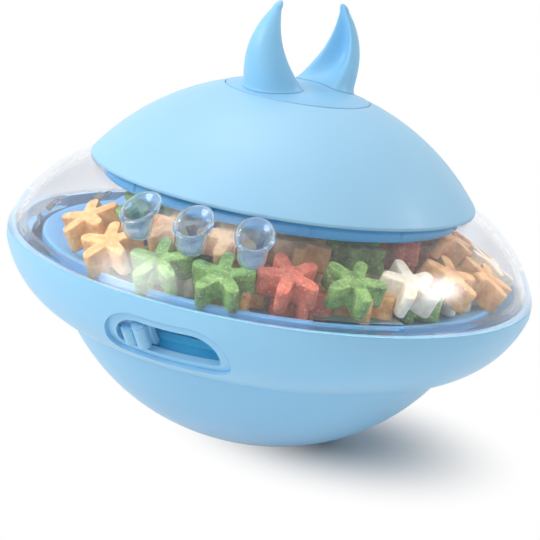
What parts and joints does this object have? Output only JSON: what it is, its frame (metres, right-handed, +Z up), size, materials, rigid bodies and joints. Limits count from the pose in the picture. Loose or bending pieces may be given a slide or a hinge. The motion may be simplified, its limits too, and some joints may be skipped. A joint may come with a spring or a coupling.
{
  "type": "tumbler treat dispenser",
  "caption": "Saucer-shaped tumbler treat dispenser for pets: weighted base with an adjustable outlet slot, clear twist-lock cover, lift-off domed lid with soft horns.",
  "frame": {"origin": "centre of the flat foot on the floor", "axes": "+Z up along the body's axis, -Y towards the outlet slot, +X to the right when the slot is faced"},
  "size_m": [0.12, 0.12, 0.1006],
  "materials": {
    "shell_plastic": "satin moulded plastic, pale blue",
    "inner_plastic": "fine matt moulded plastic, deeper blue",
    "clear_plastic": "polished clear plastic",
    "horn_rubber": "soft satin rubber, sky blue",
    "steel": "plain zinc-plated steel"
  },
  "bodies": {
    "base": {"base_shell": "shell_plastic", "counterweight": "steel", "weight_screw": "steel", "outlet_chute": "inner_plastic", "chute_screws": "steel", "treat_tray": "inner_plastic", "tray_screws": "steel", "outlet_hood": "inner_plastic"},
    "gate": {"outlet_gate": "inner_plastic"},
    "cover": {"clear_cover": "clear_plastic", "porthole_left": "clear_plastic", "porthole_middle": "clear_plastic", "porthole_right": "clear_plastic"},
    "lid": {"dome_lid": "shell_plastic", "lid_ring": "inner_plastic", "horn_plate": "shell_plastic", "horn_left": "horn_rubber", "horn_right": "horn_rubber", "horn_clamp": "shell_plastic", "clamp_screws": "steel"}
  },
  "joints": [
    {"name": "cover_twist", "type": "hinge", "parent": "base", "child": "cover", "pos_m": [0, 0, 0.0405], "axis": [0, 0, 1], "range_deg": [0, 33]},
    {"name": "lid_lift", "type": "slide", "parent": "cover", "child": "lid", "axis": [0, 0, 1], "range_m": [0, 0.04]},
    {"name": "gate_slide", "type": "hinge", "parent": "base", "child": "gate", "pos_m": [0, 0, 0.0305], "axis": [0, 0, 1], "range_deg": [0, 13]}
  ]
}
